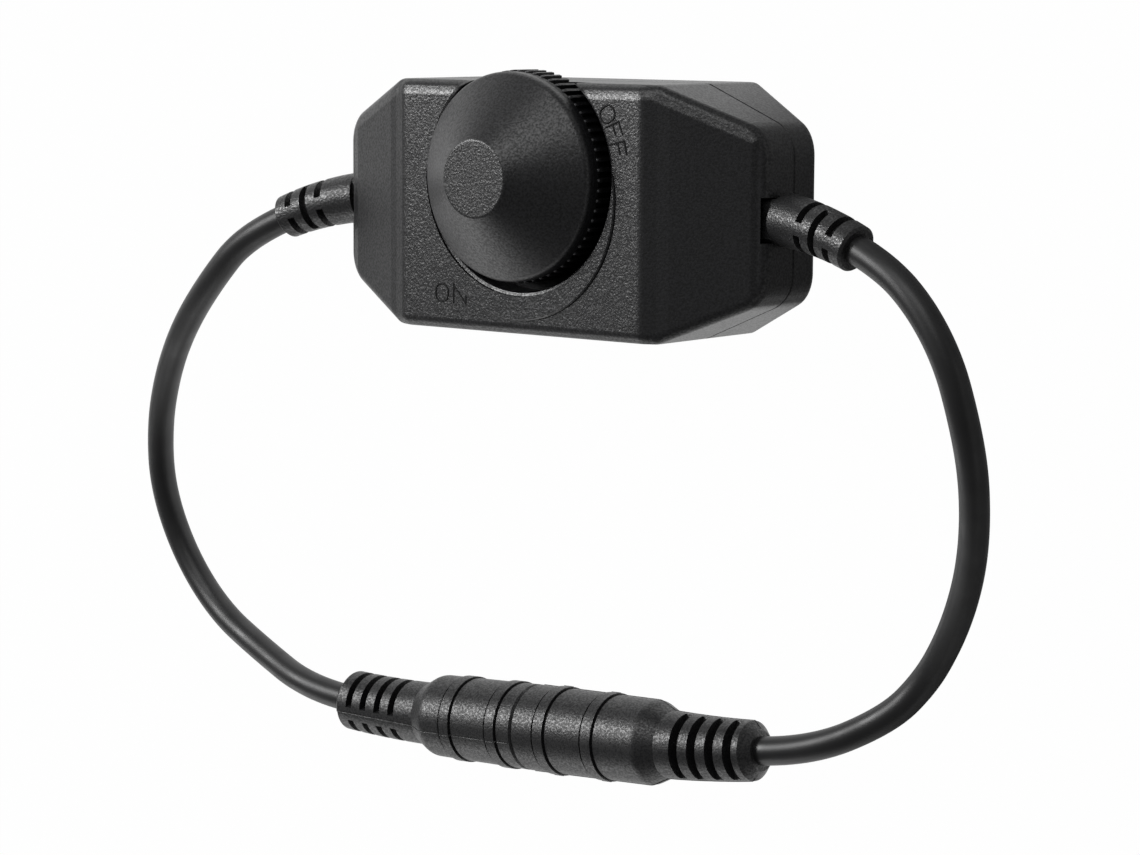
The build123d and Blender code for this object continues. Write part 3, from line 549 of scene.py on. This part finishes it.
# %% [markdown]
# ## A tree that sweeps a bead
# The tree sweeps a small circle along the strokes, sets a ball on both ends of each, shades the bead
# smooth, realises it and gives it its material. Its inputs are named, and a modifier is given their
# values by the sockets' identifiers. The rib ends and the mould lines further down end in the same
# nodes.

# %% Bead-sweeping tree
BEAD_SIDES = 10


def new_tree(name, inputs):
    """An empty geometry tree with a geometry input and output and the named inputs given."""
    tree = bpy.data.node_groups.new(name, "GeometryNodeTree")
    sockets = {}
    tree.interface.new_socket("Geometry", in_out="INPUT", socket_type="NodeSocketGeometry")
    for label, kind in inputs.items():
        sockets[label] = tree.interface.new_socket(label, in_out="INPUT", socket_type=kind).identifier
    tree.interface.new_socket("Geometry", in_out="OUTPUT", socket_type="NodeSocketGeometry")
    return tree, sockets, add_node(tree, "NodeGroupInput", {}).outputs


def end_tree(tree, shape, given):
    """Closes a tree: the shape is shaded smooth, made real and given its material."""
    smooth = add_node(tree, "GeometryNodeSetShadeSmooth", {"Geometry": shape}).outputs["Geometry"]
    whole = add_node(tree, "GeometryNodeRealizeInstances", {"Geometry": smooth}).outputs["Geometry"]
    done = add_node(tree, "GeometryNodeSetMaterial", {
        "Geometry": whole, "Material": given["Material"]}).outputs["Geometry"]
    add_node(tree, "NodeGroupOutput", {"Geometry": done})


def end_in_bead(tree, path, given):
    """Sweeps a bead with round ends along the path and closes the tree."""
    ring = add_node(tree, "GeometryNodeCurvePrimitiveCircle", {
        "Resolution": BEAD_SIDES, "Radius": given["Bead Radius"]}).outputs["Curve"]
    bead = add_node(tree, "GeometryNodeCurveToMesh", {
        "Curve": path, "Profile Curve": ring, "Fill Caps": True}).outputs["Mesh"]
    ball = add_node(tree, "GeometryNodeMeshUVSphere", {
        "Segments": BEAD_SIDES, "Rings": BEAD_SIDES // 2,
        "Radius": given["Bead Radius"]}).outputs["Mesh"]
    ends = add_node(tree, "GeometryNodeCurveEndpointSelection", {}).outputs["Selection"]
    balls = add_node(tree, "GeometryNodeInstanceOnPoints", {
        "Points": path, "Selection": ends, "Instance": ball}).outputs["Instances"]
    both = add_node(tree, "GeometryNodeJoinGeometry", {"Geometry": bead})
    tree.links.new(balls, both.inputs["Geometry"])
    end_tree(tree, both.outputs["Geometry"], given)


def grow(name, base, tree, sockets, values):
    """Runs a tree on a base object and returns the result as a plain mesh object."""
    bpy.context.collection.objects.link(base)
    modifier = base.modifiers.new("grow", "NODES")
    modifier.node_group = tree
    for label, value in values.items():
        modifier[sockets[label]] = value
    seen = base.evaluated_get(bpy.context.evaluated_depsgraph_get())
    mesh = bpy.data.meshes.new_from_object(seen)
    mesh.name = name
    base.modifiers.remove(modifier)
    bpy.data.objects.remove(base)
    grown = bpy.data.objects.new(name, mesh)
    bpy.context.collection.objects.link(grown)
    print(name, "has", len(mesh.polygons), "faces")
    return grown


lettering, letter_sockets, letter_given = new_tree("raised_strokes", {
    "Bead Radius": "NodeSocketFloat", "Material": "NodeSocketMaterial"})
end_in_bead(lettering, letter_given["Geometry"], letter_given)
print("tree", lettering.name, "takes", list(letter_sockets))

# %% Mould the words
BEAD_RADIUS_MM = 0.14
BEAD_PROUD_MM = 0.1
WORD_SHADE_SHINE = 0.28
# The words are smooth and matt, and their shine is cut low as painted shade for the shaded sides of the
# strokes, so they read darker than the grain round them.
finishes["words"] = stock("matt_painted_shade_word_abs", "#171718", "#1b1b1c", 0.0, 0.7, 0.8, 0.3, 0.004)
word_surface = finishes["words"].node_tree.nodes["Principled BSDF"]
word_surface.inputs["Specular IOR Level"].default_value = WORD_SHADE_SHINE

pen = bpy.data.curves.new("word_strokes", "CURVE")
pen.dimensions = "3D"
for points, closed in strokes:
    line = pen.splines.new("POLY")
    line.points.add(len(points) - 1)
    for point, (x, y) in zip(line.points, points):
        point.co = (*metres((x, y, FACE_MM + BEAD_PROUD_MM - BEAD_RADIUS_MM)), 1.0)
    line.use_cyclic_u = closed
words = grow("raised_words", bpy.data.objects.new("word_strokes", pen), lettering, letter_sockets, {
    "Bead Radius": BEAD_RADIUS_MM * MM, "Material": finishes["words"]})
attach(words, "housing")

# %% [markdown]
# ## Rib ends with a painted highlight
# The upper ends of the knob's ribs catch the light as small grey dots, which are all that shows of the
# ribs in the shade of the crown. Each dot is a small ball in a paler grey, a painted highlight. The tree
# sets one on every rib, and they turn with the knob.

# %% Dot the ribs
RIB_COUNT = 65
RIB_END_MM = (DIAL_MM[0], DIAL_MM[1], 23.25)
RIB_RING_MM = 12.76
RIB_DOT_MM = 0.22
# Painted highlight: ABS paler than the grain round it, with a little polish.
finishes["rib_ends"] = stock("painted_highlight_rib_abs", "#434345", "#4f4f52", 0.0, 0.3, 0.42, 0.3, 0.003)

dots, dot_sockets, dot_given = new_tree("rib_dots", {
    "Ribs": "NodeSocketInt", "Ring Radius": "NodeSocketFloat", "Centre": "NodeSocketVector",
    "Dot Radius": "NodeSocketFloat", "Material": "NodeSocketMaterial"})
rib_ring = add_node(dots, "GeometryNodeMeshCircle", {
    "Vertices": dot_given["Ribs"], "Radius": dot_given["Ring Radius"]}).outputs["Mesh"]
lifted = add_node(dots, "GeometryNodeTransform", {
    "Geometry": rib_ring, "Translation": dot_given["Centre"]}).outputs["Geometry"]
dot = add_node(dots, "GeometryNodeMeshUVSphere", {
    "Segments": BEAD_SIDES, "Rings": BEAD_SIDES // 2,
    "Radius": dot_given["Dot Radius"]}).outputs["Mesh"]
sown = add_node(dots, "GeometryNodeInstanceOnPoints", {
    "Points": lifted, "Instance": dot}).outputs["Instances"]
end_tree(dots, sown, dot_given)
blank = bpy.data.objects.new("rib_ring", bpy.data.meshes.new("rib_ring"))
rib_ends = grow("knob_rib_ends", blank, dots, dot_sockets, {
    "Ribs": RIB_COUNT, "Ring Radius": RIB_RING_MM * MM, "Centre": metres(RIB_END_MM),
    "Dot Radius": RIB_DOT_MM * MM, "Material": finishes["rib_ends"]})
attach(rib_ends, "dial")

# %% [markdown]
# ## Mould lines on the grips
# Where the two halves of a grip's mould met, a hair of PVC was squeezed out along both sides. The
# line follows every groove and shoulder, so it can't be drawn ahead: the tree sends rays from a
# straight guide beside the grip inward, and the hits become the path of the bead. Each guide carries
# its own ray direction as an attribute.

# %% Guides beside the grips
SEAM_MM = (-10.58, -68.8, 5.8)
CONNECTOR_YAW_DEGREES = 2.1
GUIDE_REACH_MM = 9.0
LINE_RADIUS_MM = 0.08
LINE_STEP_MM = 0.12
# For each grip: heading along X, where its line starts and ends, its sleeve's start and sideways
# drift at the end, and the turn of the mould's parting plane about the grip, in degrees.
GRIP_GUIDES = ((-1, 0.6, 32.2, 18.2, 0.64, -14.0), (1, 0.6, 35.5, 22.2, 0.6, 78.0))

corners, lines, inward = [], [], []
yaw = Matrix.Rotation(radians(CONNECTOR_YAW_DEGREES), 3, "Z")
for ahead, start, end, bend_start, drift, degrees in GRIP_GUIDES:
    tilt = radians(degrees)
    outward = yaw @ Vector((0, -ahead * sin(tilt), cos(tilt)))
    for side in (1, -1):
        first = len(corners)
        for along, shift in ((start, 0.0), (bend_start, 0.0), (end, drift)):
            axis_point = yaw @ Vector((ahead * along, shift, 0))
            corners.append((Vector(SEAM_MM) + axis_point + outward * side * GUIDE_REACH_MM) * MM)
            inward.append(-side * outward)
        lines += [(first, first + 1), (first + 1, first + 2)]
guide_mesh = bpy.data.meshes.new("mould_line_guides")
guide_mesh.from_pydata(corners, lines, [])
rays = guide_mesh.attributes.new("inward", "FLOAT_VECTOR", "POINT")
rays.data.foreach_set("vector", [part for ray in inward for part in ray])
print("guides:", len(lines) // 2)

# %% Mould the lines
mould, mould_sockets, mould_given = new_tree("mould_lines", {
    "Plug Grip": "NodeSocketObject", "Jack Grip": "NodeSocketObject", "Step": "NodeSocketFloat",
    "Bead Radius": "NodeSocketFloat", "Material": "NodeSocketMaterial"})
grips = add_node(mould, "GeometryNodeJoinGeometry", {})
for label in ("Plug Grip", "Jack Grip"):
    grip = add_node(mould, "GeometryNodeObjectInfo", {
        "transform_space": "RELATIVE", "Object": mould_given[label]})
    mould.links.new(grip.outputs["Geometry"], grips.inputs["Geometry"])
guide = add_node(mould, "GeometryNodeMeshToCurve", {"Mesh": mould_given["Geometry"]}).outputs["Curve"]
dotted = add_node(mould, "GeometryNodeResampleCurve", {
    "mode": "LENGTH", "Curve": guide, "Length": mould_given["Step"]}).outputs["Curve"]
direction = add_node(mould, "GeometryNodeInputNamedAttribute", {
    "data_type": "FLOAT_VECTOR", "Name": "inward"}).outputs["Attribute"]
hit = add_node(mould, "GeometryNodeRaycast", {
    "Target Geometry": grips.outputs["Geometry"], "Ray Direction": direction,
    "Ray Length": 2 * GUIDE_REACH_MM * MM}).outputs
landed = add_node(mould, "GeometryNodeSetPosition", {
    "Geometry": dotted, "Position": hit["Hit Position"]}).outputs["Geometry"]
end_in_bead(mould, landed, mould_given)
guides = bpy.data.objects.new("mould_line_guides", guide_mesh)
mould_lines = grow("grip_mould_lines", guides, mould, mould_sockets, {
    "Plug Grip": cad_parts["plug_grip"], "Jack Grip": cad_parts["jack_grip"],
    "Step": LINE_STEP_MM * MM, "Bead Radius": LINE_RADIUS_MM * MM, "Material": finishes["grip_pvc"]})
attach(mould_lines, "housing")

# %% [markdown]
# ## The table
# The dimmer lies on a pale sweep. A black object shows its surroundings more than itself, so the
# table does a lot of the lighting: upright walls mirror it at a shallow angle. The camera sees it
# nearly as plain white. Mirror rays see that white only as far as the input end, and almost black
# beyond it, which is what keeps the end wall dark. The rest of its shading is ordinary paper, which
# keeps the soft shadow.

# %% White table
TABLE_HALF_M = 3.0
PAPER_GREY = "#8c8c8c"
WHITE_TO_CAMERA = 0.99
WHITE_IN_MIRRORS = 0.95
DARK_IN_MIRRORS = 0.06
MIRROR_HEADING = (1.0, 0.16, 0.0)
MIRROR_WHITE_TO_MM = 21.0
MIRROR_DARK_FROM_MM = 34.0

square = [(x * TABLE_HALF_M, y * TABLE_HALF_M, 0) for x, y in ((-1, -1), (1, -1), (1, 1), (-1, 1))]
table_mesh = bpy.data.meshes.new("white_table")
table_mesh.from_pydata(square, [], [(0, 1, 2, 3)])
table = bpy.data.objects.new("white_table", table_mesh)
bpy.context.collection.objects.link(table)
paper = bpy.data.materials.new("white_paper_sweep")
paper.use_nodes = True
paper_tree = paper.node_tree
paper_tree.nodes.clear()
light_path = add_node(paper_tree, "ShaderNodeLightPath", {}).outputs
to_mirror = add_node(paper_tree, "ShaderNodeMath", {
    "operation": "ADD", 0: light_path["Is Glossy Ray"], 1: light_path["Is Transmission Ray"]}).outputs[0]
to_camera = add_node(paper_tree, "ShaderNodeMath", {
    "operation": "MULTIPLY", 0: light_path["Is Camera Ray"], 1: WHITE_TO_CAMERA}).outputs[0]
table_place = add_node(paper_tree, "ShaderNodeTexCoord", {}).outputs["Object"]
to_input_end = add_node(paper_tree, "ShaderNodeVectorMath", {
    "operation": "DOT_PRODUCT", 0: table_place, 1: MIRROR_HEADING}).outputs["Value"]
mirror_level = add_node(paper_tree, "ShaderNodeMapRange", {
    "Value": to_input_end, "From Min": MIRROR_WHITE_TO_MM * MM, "From Max": MIRROR_DARK_FROM_MM * MM,
    "To Min": WHITE_IN_MIRRORS, "To Max": DARK_IN_MIRRORS}).outputs["Result"]
white_share = add_node(paper_tree, "ShaderNodeMath", {
    "operation": "MULTIPLY_ADD", 0: to_mirror, 1: mirror_level, 2: to_camera}).outputs[0]
lit = add_node(paper_tree, "ShaderNodeBsdfDiffuse", {"Color": linear(PAPER_GREY)}).outputs[0]
white = add_node(paper_tree, "ShaderNodeEmission", {"Color": WHITE, "Strength": 1.0}).outputs[0]
mixed = add_node(paper_tree, "ShaderNodeMixShader", {0: white_share, 1: lit, 2: white}).outputs[0]
add_node(paper_tree, "ShaderNodeOutputMaterial", {"Surface": mixed})
table_mesh.materials.append(paper)
print("table is", 2 * TABLE_HALF_M, "m wide")

# %% [markdown]
# ## The room
# Round the table the room is light to just above table level and dark overhead. The dark part is what
# the facets that face the viewer mirror, and it is why the input end looks nearly black. The camera
# itself sees plain white behind the table, from any side.

# %% Room gradient
ROOM_LIGHT_TO = 0.06
ROOM_DARK_FROM = 0.4
ROOM_LIGHT_LEVEL = 0.52
ROOM_DARK_LEVEL = 0.11

room = bpy.data.worlds.new("studio_room")
room.use_nodes = True
bpy.context.scene.world = room
room_tree = room.node_tree
room_heading = add_node(room_tree, "ShaderNodeTexCoord", {}).outputs["Generated"]
room_height = add_node(room_tree, "ShaderNodeSeparateXYZ", {"Vector": room_heading}).outputs["Z"]
level = add_node(room_tree, "ShaderNodeMapRange", {
    "interpolation_type": "SMOOTHSTEP", "Value": room_height, "From Min": ROOM_LIGHT_TO,
    "From Max": ROOM_DARK_FROM, "To Min": ROOM_LIGHT_LEVEL, "To Max": ROOM_DARK_LEVEL}).outputs["Result"]
direct = add_node(room_tree, "ShaderNodeLightPath", {}).outputs["Is Camera Ray"]
strength = add_node(room_tree, "ShaderNodeMath", {"operation": "MAXIMUM", 0: level, 1: direct}).outputs[0]
set_up(room_tree, room_tree.nodes["Background"], {"Color": WHITE, "Strength": strength})
print("room level is", ROOM_LIGHT_LEVEL, "at the horizon and", ROOM_DARK_LEVEL, "overhead")

# %% [markdown]
# ## The softboxes
# A lamp is described by where it stands from the dimmer, how wide and high it is and how bright its
# face looks. The power follows from those: brightness times pi times area. The key stands a little
# above the direction that the flat front mirrors, so only tilted grains, the roll-off along the top
# edge and the well's lip catch it. The top one is weaker and edges the facet at the input end. The low
# one lifts the lower side.

# %% Softboxes
SUBJECT_MM = (-5.0, -25.0, 10.0)
LAMP_DISTANCE_M = 0.9
# Each lamp: heading from the dimmer, width and height in metres, and brightness.
SOFTBOXES = {
    "key_softbox": ((-0.62, 0.36, 0.695), 0.36, 0.36, 14.0),
    "top_softbox": ((0.18, 0.66, 0.73), 0.58, 0.46, 2.5),
    "low_softbox": ((-0.62, -0.79, 0.10), 0.9, 0.40, 1.5),
}
for name, (lamp_heading, width, height, brightness) in SOFTBOXES.items():
    lamp = bpy.data.lights.new(name, "AREA")
    lamp.shape = "RECTANGLE"
    lamp.size = width
    lamp.size_y = height
    lamp.energy = brightness * pi * width * height
    softbox = bpy.data.objects.new(name, lamp)
    stand = metres(SUBJECT_MM) + Vector(lamp_heading).normalized() * LAMP_DISTANCE_M
    softbox.matrix_world = facing(stand, metres(SUBJECT_MM), (0, 0, 1))
    bpy.context.collection.objects.link(softbox)
    print(name, "gives", round(lamp.energy, 2), "W")

# %% [markdown]
# ## Picture settings
# Standard view keeps a colour as it is written.

# %% Finish
bpy.context.scene.view_settings.view_transform = "Standard"
